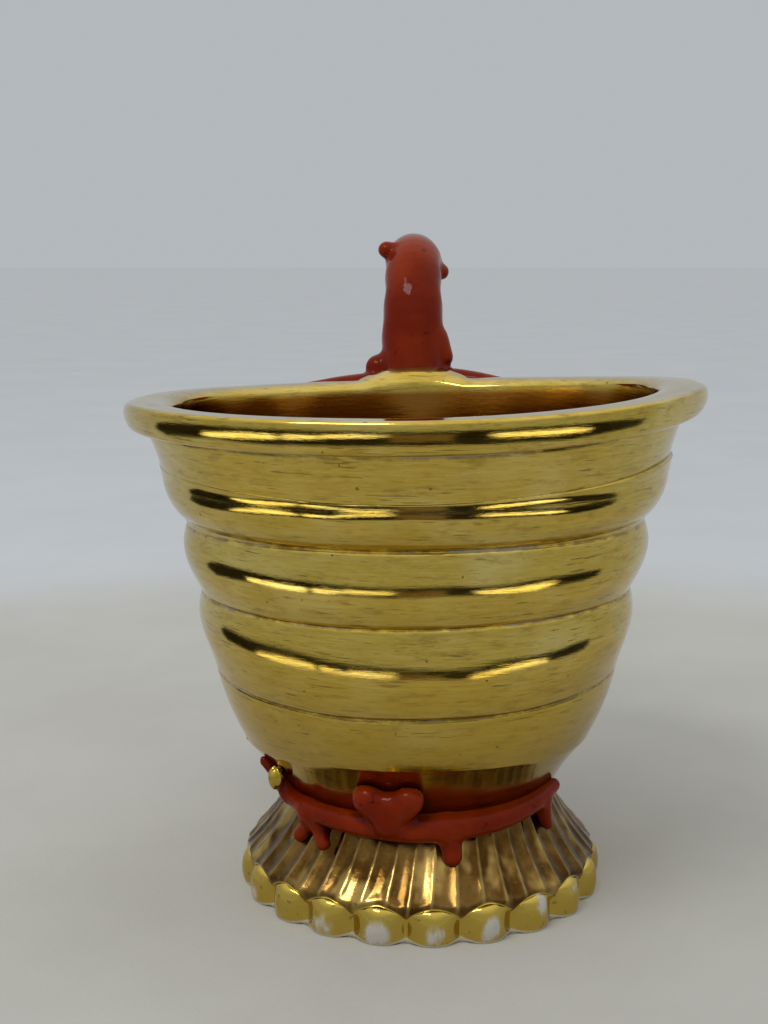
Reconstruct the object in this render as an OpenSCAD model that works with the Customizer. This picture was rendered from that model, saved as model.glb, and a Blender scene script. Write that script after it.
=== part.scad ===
// Shaving mug in gilded porcelain. A stepped bowl stands on a flared foot
// with a scalloped hem. Coral branches, each rolled and pressed on by hand
// before firing, make the handle and wrap the waist.
// Millimetres, +Z up. The origin is the centre of the foot on the table,
// the front is -Y and the handle is at +Y.

/* [Rim] */
// Widest diameter of the rolled rim
rim_d = 100.4; // [92:0.2:122]
// Radius of the rim's roll
roll_r = 2.8; // [2:0.1:4]
// Height of the flare from the neck up to the rim's crest
lip_h = 10.9; // [9:0.1:16]
// How far the rim rises to a soft point in front of the handle
cusp_h = 3; // [1:0.1:5]
// Width of that soft point
cusp_w = 24; // [14:1:34]

/* [Bowl bands] */
// Diameter at the neck under the rim
neck_d = 88.6; // [84:0.2:106]
// Diameter in the upper groove
groove_1_d = 80; // [70:0.2:90]
// Diameter in the middle groove
groove_2_d = 75.4; // [66:0.2:90]
// Diameter in the lower groove
groove_3_d = 71.2; // [62:0.2:86]
// Diameter at the shoulder, where the lowest band turns under
shoulder_d = 61.6; // [52:0.2:74]
// Height of the top band, from the upper groove to the neck
band_1_h = 11.1; // [9:0.1:14]
// Height of the second band
band_2_h = 11.8; // [9:0.1:15]
// Height of the third band
band_3_h = 14; // [11:0.1:17]
// Height of the fourth band, from the shoulder to the lower groove
band_4_h = 13; // [10:0.1:16]
// Height of the underside, from the foot to the shoulder
under_h = 10; // [8:0.1:14]
// How far the upper bands swell beyond their grooves
bulge_d = 3; // [1:0.1:5]
// Thickness of the bowl's wall
wall = 3; // [2:0.1:4]
// Thickness of the bowl's floor
floor_t = 4; // [3:0.1:6]

/* [Foot] */
// Diameter over the scalloped hem
foot_d = 65.2; // [58:0.2:80]
// Diameter of the waist, where the bowl is luted to the foot
waist_d = 48.6; // [42:0.2:54]
// Height of the foot up to the waist
foot_h = 17.6; // [15:0.1:22]
// Height of the scalloped hem
hem_h = 6.4; // [5:0.1:8]
// How far the hem stands out beyond its top edge
hem_out = 1.2; // [0.6:0.1:2.4]
// Number of scallops round the hem
scallops = 21; // [15:1:27]
// Depth of the groove between two scallops
scallop_depth = 0.7; // [0.3:0.1:1]
// Turn of the scallops about the axis, in degrees
scallop_turn = 4.3; // [0:0.1:24]
// Thickness of the foot's wall
foot_wall = 4; // [3:0.1:5]

/* [Handle] */
// Diameter of the handle's branch
handle_d = 12; // [9:0.2:15]
// Height of the handle's top above the rim's crest
handle_rise = 27.4; // [18:0.2:36]
// Reach of the handle behind the rim, to its outer face
handle_reach = 36; // [30:0.5:46]
// Sideways place of the handle from the mug's middle
handle_x = -1.9; // [-4:0.1:4]

/* [Coral] */
// Diameter of the branch round the front of the waist
collar_d = 4.8; // [3.6:0.1:6]
// Diameter of the spurs and roots
twig_d = 3.6; // [2.6:0.1:4.6]
// Width of the bud at the front
bud_w = 12; // [8:0.2:16]
// Height of the bud at the front
bud_h = 7.4; // [5:0.1:10]

/* [Fit by hand] */
// Tilt of the bowl on its foot towards -X, in degrees
bowl_lean = 0.6; // [0:0.1:1.5]
// Sideways error of the bowl on its foot, towards -X
bowl_shift = 0.6; // [0:0.1:1.5]

/* [Hidden] */

gilt = "goldenrod";
coral = [0.72, 0.2, 0.08];

// Heights of the levels of the profile
shoulder_z = foot_h + under_h;
groove_3_z = shoulder_z + band_4_h;
groove_2_z = groove_3_z + band_3_h;
groove_1_z = groove_2_z + band_2_h;
neck_z = groove_1_z + band_1_h;
rim_z = neck_z + lip_h;
roll_c = [rim_d / 2 - roll_r, rim_z - roll_r];

// The roll leaves the outside at a crease and the inside at its inner edge
crease_a = 255;
inner_a = 150;
crease = roll_c + roll_r * [cos(crease_a), sin(crease_a)];
lip_in = roll_c + roll_r * [cos(inner_a), sin(inner_a)];

// Exponents of the curves: underside, neck flare, lip inside and foot flare
under_pow = 1.5;
flare_pow = 2;
lip_pow = 1.8;
foot_pow = 1.4;

// One band: a straight run between two grooves with a bulge on it. The
// bulge peaks above the middle where skew is over 1.
function band(z, z0, r0, z1, r1, bulge, skew) =
    let (t = min(1, max(0, (z - z0) / (z1 - z0))))
    r0 + (r1 - r0) * t + bulge * sin(180 * pow(t, skew));

// A curve that leaves (z0, r0) upright and reaches (z1, r1)
function flare(z, z0, r0, z1, r1, power) =
    r0 + (r1 - r0) * pow(min(1, max(0, (z - z0) / (z1 - z0))), power);

// Outer radius of the bowl at a height, with the bulges times k
function bowl_r(z, k = 1) =
    z < shoulder_z ? flare(z, foot_h, waist_d / 2, shoulder_z, shoulder_d / 2, under_pow)
    : z < groove_3_z ? band(z, shoulder_z, shoulder_d / 2, groove_3_z, groove_3_d / 2,
                            k * bulge_d * 0.15, 1)
    : z < groove_2_z ? band(z, groove_3_z, groove_3_d / 2, groove_2_z, groove_2_d / 2,
                            k * bulge_d * 0.37, 1.7)
    : z < groove_1_z ? band(z, groove_2_z, groove_2_d / 2, groove_1_z, groove_1_d / 2,
                            k * bulge_d * 0.5, 1.3)
    : z < neck_z ? band(z, groove_1_z, groove_1_d / 2, neck_z, neck_d / 2,
                        k * bulge_d * 0.5, 1.15)
    : flare(z, neck_z, neck_d / 2, crease[1], crease[0], flare_pow);

// Outer radius of the foot above its hem
function foot_r(z) =
    flare(foot_h - z, 0, waist_d / 2 - 0.6, foot_h - hem_h, foot_d / 2 - hem_out, foot_pow);

// Heights from a to b in n steps, ends included
function levels(a, b, n) = [for (i = [0:n]) a + (b - a) * i / n];

bowl_side = concat(
    [for (z = levels(foot_h, shoulder_z, 8)) [bowl_r(z), z]],
    [for (z = levels(shoulder_z, groove_3_z, 7)) if (z > shoulder_z) [bowl_r(z), z]],
    [for (z = levels(groove_3_z, groove_2_z, 10)) if (z > groove_3_z) [bowl_r(z), z]],
    [for (z = levels(groove_2_z, groove_1_z, 10)) if (z > groove_2_z) [bowl_r(z), z]],
    [for (z = levels(groove_1_z, neck_z, 9)) if (z > groove_1_z) [bowl_r(z), z]],
    [for (z = levels(neck_z, crease[1], 5)) if (z > neck_z) [bowl_r(z), z]],
    [for (a = levels(crease_a - 360, inner_a, 14)) if (a > crease_a - 360)
        roll_c + roll_r * [cos(a), sin(a)]]
);

// The inside follows the outside, a wall away and with softer bulges
inside_soft = 0.5;
bowl_floor_z = foot_h + floor_t;
bilge_z = bowl_floor_z + 9;
function inside_r(z) =
    z < bilge_z
    ? (bowl_r(bilge_z, inside_soft) - wall)
        * sqrt(max(0, 1 - pow((bilge_z - z) / (bilge_z - bowl_floor_z), 2)))
    : z < neck_z ? bowl_r(z, inside_soft) - wall
    : flare(z, neck_z, neck_d / 2 - wall, lip_in[1], lip_in[0], lip_pow);

bowl_inside = concat(
    [for (z = levels(lip_in[1], neck_z, 7)) if (z < lip_in[1]) [inside_r(z), z]],
    [for (z = levels(neck_z, bilge_z, 26)) if (z < neck_z) [inside_r(z), z]],
    [for (a = levels(0, 90, 8)) if (a > 0)
        [a == 90 ? 0 : inside_r(bilge_z) * cos(a),
         bilge_z - (bilge_z - bowl_floor_z) * sin(a)]]
);

// Foot: hem, flare, and the hollow under it
seat_lap = 0.6;
hem_half = hem_h / 2;
foot_side = concat(
    [for (z = levels(0, hem_h, 8))
        [foot_d / 2 - hem_out + hem_out * sqrt(1 - pow((z - hem_half) / (hem_half * 1.06), 2)), z]],
    [for (z = levels(hem_h, foot_h, 9)) if (z > hem_h) [foot_r(z), z]],
    [[foot_r(foot_h), foot_h + seat_lap]]
);
foot_hollow = [for (z = levels(foot_h + seat_lap, 0, 8))
    [foot_r(max(hem_h, min(foot_h, z))) - foot_wall, z]];

// Places on the leaning bowl and on the foot: turn phi from the front
// towards +X, height z, distance out from the surface
function leaned(p) = [
    -bowl_shift + p[0] * cos(bowl_lean) - (p[2] - foot_h) * sin(bowl_lean),
    p[1],
    foot_h + p[0] * sin(bowl_lean) + (p[2] - foot_h) * cos(bowl_lean)];
function around(phi, r, z) = [r * sin(phi), -r * cos(phi), z];
function on_bowl(phi, z, out) = leaned(around(phi, bowl_r(z) + out, z));
function on_foot(phi, z, out) = around(phi, foot_r(z) + out, z);

// Branches: a route of [x, y, z, radius] is smoothed and swept into a tube
// with round ends
branch_sides = 12;
branch_steps = 3;
function unit(v) = v / norm(v);
function place(p) = [p[0], p[1], p[2]];
function with_r(p, r) = [p[0], p[1], p[2], r];
function curve(p, q, r, s, t) =
    0.5 * (2 * q + (r - p) * t + (2 * p - 5 * q + 4 * r - s) * t * t
           + (3 * q - p - 3 * r + s) * t * t * t);
function smoothed(route) =
    let (last = len(route) - 1)
    concat([for (i = [0:last - 1]) for (k = [0:branch_steps - 1])
                curve(route[max(0, i - 1)], route[i], route[i + 1],
                      route[min(last, i + 2)], k / branch_steps)],
           [route[last]]);

// Rings that round off an end, from the outermost inwards
cap_a = [75, 45, 20];
function end_cap(p, dir) =
    [for (a = cap_a) with_r(place(p) + dir * p[3] * sin(a), p[3] * cos(a))];
function reversed(list) = [for (i = [len(list) - 1:-1:0]) list[i]];

module branch(route) {
    body = smoothed(route);
    n = len(body);
    dir_0 = unit(place(body[0]) - place(body[1]));
    dir_1 = unit(place(body[n - 1]) - place(body[n - 2]));
    rings = concat(end_cap(body[0], dir_0), body, reversed(end_cap(body[n - 1], dir_1)));
    m = len(rings);
    tangent = function (i) unit(place(rings[min(m - 1, i + 1)]) - place(rings[max(0, i - 1)]));
    upright = max([for (i = [0:m - 1]) abs(tangent(i)[2])]) > 0.9;
    side = function (i) unit(cross(tangent(i), upright ? [1, 0, 0] : [0, 0, 1]));
    points = concat(
        [for (i = [0:m - 1]) for (k = [0:branch_sides - 1])
            let (a = 360 * k / branch_sides, s = side(i), u = cross(s, tangent(i)))
            place(rings[i]) + rings[i][3] * (cos(a) * s + sin(a) * u)],
        [place(body[0]) + dir_0 * body[0][3], place(body[n - 1]) + dir_1 * body[n - 1][3]]);
    first = m * branch_sides;
    faces = concat(
        [for (i = [0:m - 2]) for (k = [0:branch_sides - 1])
            let (j = (k + 1) % branch_sides)
            for (tri = [[i * branch_sides + k, i * branch_sides + j, (i + 1) * branch_sides + k],
                        [i * branch_sides + j, (i + 1) * branch_sides + j,
                         (i + 1) * branch_sides + k]]) tri],
        [for (k = [0:branch_sides - 1]) [first, (k + 1) % branch_sides, k]],
        [for (k = [0:branch_sides - 1])
            [first + 1, (m - 1) * branch_sides + k,
             (m - 1) * branch_sides + (k + 1) % branch_sides]]);
    polyhedron(points, faces);
}

// Routes of the branches, as [x, y, z, radius]
handle_r = handle_d / 2;
twig_r = twig_d / 2;
collar_r = collar_d / 2;
rim_y = rim_d / 2;
handle_top_z = rim_z + handle_rise - handle_r;
handle_out_y = rim_y + handle_reach - handle_r;
shank_y = rim_y + 3;
loop_y = (shank_y + handle_out_y) / 2;
loop_z = rim_z + 4;
heel_y = waist_d / 2 + 5.5;
heel_z = foot_h + 4;

// The handle climbs from the rim, turns over in half an ellipse, and
// sweeps down to the waist along a cubic curve
sweep_y = [handle_out_y, handle_out_y, (handle_out_y + heel_y) / 2 - 3, heel_y];
sweep_z = [loop_z, loop_z - (loop_z - heel_z) / 2, heel_z + 14, heel_z];
function cubic(p, t) =
    p[0] * pow(1 - t, 3) + 3 * p[1] * t * pow(1 - t, 2)
    + 3 * p[2] * t * t * (1 - t) + p[3] * pow(t, 3);
handle_route = concat(
    [[handle_x, neck_d / 2 + 1, neck_z - 2.5, handle_r - 1.5],
     [handle_x, shank_y - 3.5, rim_z - 6, handle_r],
     [handle_x, shank_y - 0.4, rim_z + 2, handle_r + 0.4]],
    [for (a = [150:-30:0])
        [handle_x, loop_y + (loop_y - shank_y) * cos(a),
         loop_z + (handle_top_z - loop_z) * sin(a), handle_r]],
    [for (t = levels(0, 1, 5)) if (t > 0)
        [handle_x * (1 - t), cubic(sweep_y, t), cubic(sweep_z, t), handle_r - 1.6 * t]]
);

waist_z = foot_h + 0.7;
heel_route = [for (phi = [150:15:210])
    with_r(on_bowl(phi, waist_z + 0.8, 1.6), handle_r * 0.5 - abs(phi - 180) / 30)];

knuckle_z = rim_z + 2;
knuckle_left_route = [
    [handle_x - handle_r + 1, shank_y, knuckle_z + 2.5, twig_r * 1.4],
    [handle_x - handle_r - 1.5, shank_y - 1, knuckle_z - 1, twig_r * 1.3]];
knuckle_right_route = [
    [handle_x + handle_r - 1.5, shank_y, knuckle_z + 4.5, twig_r * 1.5],
    [handle_x + handle_r + 0.2, shank_y - 0.5, knuckle_z + 1, twig_r * 1.3]];

stub_left_route = [
    [handle_x - 1, shank_y + 9, handle_top_z + 1.5, twig_r],
    [handle_x - handle_r + 0.4, shank_y + 8, handle_top_z + 2.6, twig_r * 0.95]];
stub_right_route = [
    [handle_x + 3.5, shank_y + 10, handle_top_z - 1.5, twig_r * 1.1],
    [handle_x + handle_r, shank_y + 11, handle_top_z - 2, twig_r]];

// Roots that run along the outside of the rim, away from the handle
root_z = rim_z - roll_r;
function on_rim(phi, out, drop) = leaned(around(phi, rim_d / 2 + out, root_z - drop));
rim_root_left_route = [
    with_r(on_rim(-168, 0.8, 0), twig_r * 1.2),
    with_r(on_rim(-160, 0.4, 0.2), twig_r),
    with_r(on_rim(-151, 0, 0.6), twig_r * 0.6)];
rim_root_right_route = [
    with_r(on_rim(168, 0.8, -0.4), twig_r * 1.2),
    with_r(on_rim(162, 0.4, 0), twig_r),
    with_r(on_rim(154, 0, 0.4), twig_r * 0.6)];

// Roots at the waist run forward from the heel; the left one climbs the
// bowl, and the branch round the front ends in two rising tips
lower_root_left_route = [
    with_r(on_bowl(-150, waist_z + 0.9, 1), twig_r * 1.2),
    with_r(on_bowl(-132, waist_z + 0.6, 0.9), twig_r * 1.1),
    with_r(on_bowl(-114, waist_z + 1.4, 0.8), twig_r),
    with_r(on_bowl(-98, waist_z + 4, 0.8), twig_r * 0.85)];
lower_root_right_route = [
    with_r(on_bowl(150, waist_z + 0.9, 1), twig_r * 1.2),
    with_r(on_bowl(132, waist_z + 0.5, 0.9), twig_r * 1.1),
    with_r(on_bowl(116, waist_z + 0.2, 0.8), twig_r * 0.9),
    with_r(on_bowl(104, waist_z - 0.2, 0.6), twig_r * 0.65)];
collar_route = [for (i = [0:8])
    let (phi = -66 + 132 * i / 8, u = abs(phi) / 66)
    with_r(on_bowl(phi, waist_z + 2 * pow(u, 3), 1.7 - 0.8 * u),
           collar_r * (1 - 0.5 * u * u) * (phi < -10 ? 0.9 : 1))];

// Spurs hang from the branch over the top of the foot
spur_z = foot_h - 4.4;
function spur(phi_0, phi_1, z_1, r) = [
    with_r(on_bowl(phi_0, waist_z, 1.4), r * 1.2),
    with_r(on_foot((phi_0 + phi_1) / 2, (waist_z + z_1) / 2 - 0.6, 1), r),
    with_r(on_foot(phi_1, z_1, 0.3), r * 0.9)];
spur_left_outer = spur(-46, -52, spur_z, twig_r * 0.85);
spur_left_inner = spur(-44, -39, spur_z, twig_r * 0.8);
spur_middle_route = spur(11, 12, spur_z, twig_r * 1.05);
spur_right_route = spur(57, 60, spur_z + 1, twig_r * 0.7);

// The bud: two lobes on one stem
bud_turn = -9.5;
bud_r = 2.3;
bud_stem_z = waist_z + 3;
bud_lobe_z = bud_stem_z + bud_h - 2 * bud_r;
bud_half = asin((bud_w / 2 - bud_r) / bowl_r(bud_lobe_z));

knot_turn = -77;
knot_r = 1.6;

// Solids of revolution
module bowl_solid() {
    rotate_extrude($fn = 96)
        polygon(concat([[0, foot_h]], bowl_side, [[0, lip_in[1]]]));
}
module rim_cusp() {
    // A raised piece of the rim, arched across its width
    arch_r = (pow(cusp_w / 2, 2) + cusp_h * cusp_h) / (2 * cusp_h);
    intersection() {
        rotate_extrude($fn = 96)
            translate([lip_in[0], rim_z - roll_r])
                square([roll_r * 1.5, roll_r + cusp_h]);
        translate([0, 0, rim_z + cusp_h - arch_r])
            rotate([-90, 0, 0])
                cylinder(h = rim_d, r = arch_r, $fn = 96);
    }
}
module lean() {
    translate([-bowl_shift, 0, foot_h])
        rotate([0, -bowl_lean, 0])
            translate([0, 0, -foot_h])
                children();
}
module bowl_block() {
    lean() union() {
        bowl_solid();
        rim_cusp();
    }
}
module foot_block() {
    rotate_extrude($fn = 96)
        polygon(concat([[0, 0]], foot_side, [[0, foot_h + seat_lap]]));
}

// Pieces
module bowl() {
    color(gilt)
    lean() union() {
        difference() {
            bowl_solid();
            rotate_extrude($fn = 96)
                polygon(concat([[0, rim_z], [lip_in[0], rim_z], lip_in], bowl_inside));
        }
        rim_cusp();
    }
}

module foot() {
    groove_r = 1.5;
    color(gilt)
    difference() {
        foot_block();
        rotate_extrude($fn = 96)
            polygon(concat([[0, foot_h + seat_lap]], foot_hollow, [[0, 0]]));
        for (i = [0:scallops - 1])
            rotate(scallop_turn + 360 * (i + 0.5) / scallops)
                translate([0, -(foot_d / 2 + groove_r - scallop_depth), 0])
                    cylinder(h = hem_h, r = groove_r, $fn = 32);
        lean() bowl_solid();
    }
}

module handle() {
    color(coral)
    difference() {
        branch(handle_route);
        bowl_block();
        foot_block();
    }
}

module handle_heel() {
    color(coral)
    difference() {
        branch(heel_route);
        bowl_block();
        foot_block();
        branch(handle_route);
    }
}

module handle_knuckle_left() {
    color(coral)
    difference() {
        branch(knuckle_left_route);
        bowl_block();
        branch(handle_route);
    }
}

module handle_knuckle_right() {
    color(coral)
    difference() {
        branch(knuckle_right_route);
        bowl_block();
        branch(handle_route);
    }
}

module handle_stub_left() {
    color(coral)
    difference() {
        branch(stub_left_route);
        branch(handle_route);
    }
}

module handle_stub_right() {
    color(coral)
    difference() {
        branch(stub_right_route);
        branch(handle_route);
    }
}

module rim_root_left() {
    color(coral)
    difference() {
        branch(rim_root_left_route);
        bowl_block();
        branch(handle_route);
        branch(knuckle_left_route);
    }
}

module rim_root_right() {
    color(coral)
    difference() {
        branch(rim_root_right_route);
        bowl_block();
        branch(handle_route);
        branch(knuckle_right_route);
    }
}

module lower_root_left() {
    color(coral)
    difference() {
        branch(lower_root_left_route);
        bowl_block();
        foot_block();
        branch(heel_route);
    }
}

module lower_root_right() {
    color(coral)
    difference() {
        branch(lower_root_right_route);
        bowl_block();
        foot_block();
        branch(heel_route);
    }
}

module collar_branch() {
    color(coral)
    difference() {
        branch(collar_route);
        bowl_block();
        foot_block();
    }
}

module front_bud() {
    color(coral)
    difference() {
        for (side = [-1, 1])
            hull() {
                translate(on_bowl(bud_turn, bud_stem_z, 2)) sphere(bud_r, $fn = 24);
                translate(on_bowl(bud_turn + side * bud_half, bud_lobe_z, 0.6))
                    sphere(bud_r, $fn = 24);
                translate(on_bowl(bud_turn, bud_lobe_z - bud_r / 2, 0.2))
                    sphere(bud_r, $fn = 24);
            }
        bowl_block();
        branch(collar_route);
    }
}

module spur_left() {
    color(coral)
    difference() {
        union() {
            branch(spur_left_outer);
            branch(spur_left_inner);
        }
        bowl_block();
        foot_block();
        branch(collar_route);
    }
}

module spur_middle() {
    color(coral)
    difference() {
        branch(spur_middle_route);
        bowl_block();
        foot_block();
        branch(collar_route);
    }
}

module spur_right() {
    color(coral)
    difference() {
        branch(spur_right_route);
        bowl_block();
        foot_block();
        branch(collar_route);
    }
}

module gilt_knot() {
    color(gilt)
    difference() {
        translate(on_bowl(knot_turn, waist_z + 2, 0.5)) sphere(knot_r, $fn = 32);
        bowl_block();
        foot_block();
        branch(collar_route);
    }
}

bowl();
foot();
handle();
handle_heel();
handle_knuckle_left();
handle_knuckle_right();
handle_stub_left();
handle_stub_right();
rim_root_left();
rim_root_right();
lower_root_left();
lower_root_right();
collar_branch();
front_bud();
spur_left();
spur_middle();
spur_right();
gilt_knot();
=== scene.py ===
import math

import bpy
import numpy as np
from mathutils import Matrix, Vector


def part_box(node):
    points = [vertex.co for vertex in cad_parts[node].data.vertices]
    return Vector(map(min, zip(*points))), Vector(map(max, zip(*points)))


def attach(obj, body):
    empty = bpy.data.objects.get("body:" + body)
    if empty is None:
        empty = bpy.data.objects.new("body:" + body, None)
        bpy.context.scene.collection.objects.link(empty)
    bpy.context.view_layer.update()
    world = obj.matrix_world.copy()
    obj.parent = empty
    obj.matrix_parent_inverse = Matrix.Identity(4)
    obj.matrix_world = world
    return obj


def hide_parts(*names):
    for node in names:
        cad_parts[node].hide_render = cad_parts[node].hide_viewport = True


# The looks of a gilded shaving mug with a coral handle. The CAD pieces give
# the sizes; each is replaced by a mesh with the surface of the real piece.
# Sizes are in millimetres until a mesh is made. Turns are in degrees from
# the front, -Y, towards +X.

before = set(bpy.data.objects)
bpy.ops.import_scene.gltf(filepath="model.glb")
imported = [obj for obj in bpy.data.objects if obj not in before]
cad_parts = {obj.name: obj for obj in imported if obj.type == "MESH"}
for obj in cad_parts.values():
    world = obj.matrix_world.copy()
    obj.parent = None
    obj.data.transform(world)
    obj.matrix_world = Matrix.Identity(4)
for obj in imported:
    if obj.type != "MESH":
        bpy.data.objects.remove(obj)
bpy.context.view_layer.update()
MM = 0.001


def span(node, axis):
    """Lowest and highest value of a CAD node along an axis, in millimetres."""
    low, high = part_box(node)
    return low[axis] / MM, high[axis] / MM


# ---------------------------------------------------------------- sizes

# Levels of the bowl: height and outer radius
FOOT_H = 17.6
WAIST_R = 24.3
SHOULDER = (27.6, 30.8)
GROOVE_3 = (40.6, 35.6)
GROOVE_2 = (54.6, 37.7)
GROOVE_1 = (66.4, 40.0)
NECK = (77.5, 44.3)
RIM_Z = 88.4
RIM_R = 50.2
ROLL_R = 2.8
ROLL = (RIM_Z - ROLL_R, RIM_R - ROLL_R)
CREASE_TURN = 255
LIP_IN_R = 41.9
LIP_DROP = 1.7
WALL = 3.0
FLOOR_Z = FOOT_H + 4
BILGE_Z = FLOOR_Z + 9
CUSP_H = 3.0
CUSP_HALF = 12.0
CUSP_X = -0.4
UNDER_FLARE = 1.5
# The bowl leans to one side on its foot, and sits a little off its middle
LEAN = math.radians(0.6)
SHIFT = 0.6

# Foot
FOOT_R = span("foot", 1)[1]
HEM_H = 6.4
HEM_OUT = 1.2
SCALLOPS = 21
SCALLOP_TURN = 4.3
FLUTES = 48
FLUTE_H = 0.75
FLUTE_SWIRL = 5.0
FLUTE_SHARP = 2.2
FOOT_WALL = 4.0
FOOT_TOP_R = WAIST_R - 0.6
FOOT_FLARE = 1.4

# Handle and coral
HANDLE_X = -1.9
HANDLE_R = 6.0
HANDLE_TOP = span("handle", 2)[1] - HANDLE_R
HANDLE_OUT = span("handle", 1)[1] - HANDLE_R
HANDLE_SHANK_Y = RIM_R + 3
TWIG_R = 1.8
WAIST_Z = FOOT_H + 0.7
COLLAR_R = 2.4
COLLAR_HALF = 66
BUD_TURN = -9.5
BUD_R = 2.3


# ---------------------------------------------------------------- helpers

def smooth(x, low, high):
    """0 below low, 1 above high, and a smooth step between them."""
    t = np.clip((x - low) / (high - low), 0, 1)
    return t * t * (3 - 2 * t)


def lobe(phi, centre, width):
    """A soft bump round one direction, 1 at its centre."""
    gap = (phi - centre + 180) % 360 - 180
    return np.exp(-(gap / width) ** 2)


def waves(phi, seed, harmonics=(2, 3, 5, 7)):
    """A slow uneven wave round the axis, about -1 to 1."""
    draw = np.random.default_rng(seed)
    total = np.zeros_like(phi)
    for n in harmonics:
        total = total + np.sin(np.radians(n * phi) + draw.uniform(0, 2 * math.pi)) / n ** 0.5
    return total / sum(1 / n ** 0.5 for n in harmonics)


def even(n):
    """Steps from 0 to 1, closer together at both ends."""
    return 0.5 - 0.5 * np.cos(np.linspace(0, math.pi, n + 1))


def leaned(p):
    """The bowl's own frame to the mug's: it leans a little on its foot."""
    x, y, z = p[..., 0], p[..., 1], p[..., 2] - FOOT_H
    return np.stack([x * math.cos(LEAN) - z * math.sin(LEAN) - SHIFT, y,
                     x * math.sin(LEAN) + z * math.cos(LEAN) + FOOT_H], -1)


def unleaned(p):
    """The mug's frame to the bowl's own, the reverse of leaned."""
    x, y, z = p[..., 0] + SHIFT, p[..., 1], p[..., 2] - FOOT_H
    return np.stack([x * math.cos(LEAN) + z * math.sin(LEAN), y,
                     z * math.cos(LEAN) - x * math.sin(LEAN) + FOOT_H], -1)


def make_object(name, points, faces, attributes=None, normals=None):
    """A smooth-shaded mesh object from points in millimetres."""
    mesh = bpy.data.meshes.new(name)
    mesh.from_pydata((np.asarray(points) * MM).tolist(), [], [list(f) for f in faces])
    mesh.validate()
    mesh.polygons.foreach_set("use_smooth", [True] * len(mesh.polygons))
    for key, values in (attributes or {}).items():
        layer = mesh.attributes.new(key, "FLOAT", "POINT")
        layer.data.foreach_set("value", np.asarray(values, np.float32))
    if normals is not None:
        mesh.normals_split_custom_set_from_vertices(np.asarray(normals).tolist())
    mesh.update()
    obj = bpy.data.objects.new(name, mesh)
    bpy.context.scene.collection.objects.link(obj)
    return obj


def ring_faces(rows, columns, closed):
    """Quads of a grid that closes round its columns, and round its rows if closed."""
    i = np.arange(rows if closed else rows - 1)[:, None]
    j = np.arange(columns)[None, :]
    i2, j2 = (i + 1) % rows, (j + 1) % columns
    quads = np.stack([i * columns + j, i * columns + j2,
                      i2 * columns + j2, i2 * columns + j], -1)
    return quads.reshape(-1, 4).tolist()


def capped_faces(rows, columns):
    """Quads of a grid that closes round its columns, with a lid on each end."""
    last = (rows - 1) * columns
    return ring_faces(rows, columns, False) + [list(range(columns))[::-1],
                                               list(range(last, last + columns))]


class Rings:
    """Rows of points round the axis, each with its marks for the material."""

    def __init__(self, columns, marks):
        self.phi = np.arange(columns) * 360 / columns
        self.rows = []
        self.marks = {mark: [] for mark in marks}

    def add(self, z, r, *values):
        """One row at a height and radius. Marks that are left out are 0."""
        values = (*values, *[0.0] * (len(self.marks) - len(values)))
        z, r, *values = (np.broadcast_to(v, self.phi.shape) for v in (z, r, *values))
        turn = np.radians(self.phi)
        self.rows.append(np.stack([r * np.sin(turn), -r * np.cos(turn), z], -1))
        for mark, value in zip(self.marks.values(), values):
            mark.append(value)

    def points(self):
        return np.concatenate(self.rows)

    def attributes(self):
        return {mark: np.concatenate(values) for mark, values in self.marks.items()}


# ---------------------------------------------------------------- profile

def flare(z, z0, r0, z1, r1, power):
    """A curve from one height and radius to another, steeper at one end."""
    return r0 + (r1 - r0) * np.clip((z - z0) / (z1 - z0), 0, 1) ** power


def belly(t, r0, r1, bulge, skew):
    """A swelling band between two radii, t from 0 to 1 up its height."""
    return r0 + (r1 - r0) * t + bulge * np.sin(math.pi * t ** skew)


def roll_point(turn):
    """Height and radius of a place on the rim's roll, turned from outward."""
    a = math.radians(turn)
    return ROLL[0] + ROLL_R * math.sin(a), ROLL[1] + ROLL_R * math.cos(a)


CREASE = roll_point(CREASE_TURN)
# Each band's low and high level, how far it bulges, and how low in the band
BANDS = [(SHOULDER, GROOVE_3, 0.45, 1.0), (GROOVE_3, GROOVE_2, 1.11, 1.7),
         (GROOVE_2, GROOVE_1, 1.5, 1.3), (GROOVE_1, NECK, 1.15, 1.0)]


def plain_radius(z, softness=1.0):
    """Outer radius of the even bowl at a height, with its bellies times softness."""
    z = np.asarray(z, float)
    r = flare(z, FOOT_H, WAIST_R, *SHOULDER, UNDER_FLARE)
    for (z0, r0), (z1, r1), bulge, skew in BANDS:
        t = np.clip((z - z0) / (z1 - z0), 0, 1)
        r = np.where(z >= z0, belly(t, r0, r1, softness * bulge, skew), r)
    return np.where(z >= NECK[0], flare(z, *NECK, *CREASE, 2), r)


def foot_radius(z):
    """Outer radius of the foot's flare at a height, without its flutes."""
    drop = np.clip((FOOT_H - z) / (FOOT_H - HEM_H), 0, 1)
    return FOOT_TOP_R + (FOOT_R - HEM_OUT - FOOT_TOP_R) * drop ** FOOT_FLARE


# ---------------------------------------------------------------- bowl

COLUMNS = 300
RIM_ROWS = 46
BACK_DROP = 1.7
# Where the rim rises or falls: how much, round which turn, and how wide
RIM_WARP = [(2.1, 88, 48), (-0.5, -140, 40)]
# A groove is nicked into the wall: depth and height of the nick, and height
# of the mark that the gilding is worn along
NICK_DEPTH, NICK_H, WORN_H = 0.2, 0.3, 0.4
# Seen from the front the bellies are fuller and sit lower in their bands:
# what each band's bulge and skew gain there
FRONT_BANDS = [(0.3, 0.0), (0.75, -0.98), (0.3, -0.56), (0.0, 0.0)]
FRONT_HALF = 62
# The top band and the rim's face keep their front shape up to the first of
# these turns, and lose it by the second
FORE_TO, FORE_END = 60, 100


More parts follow.
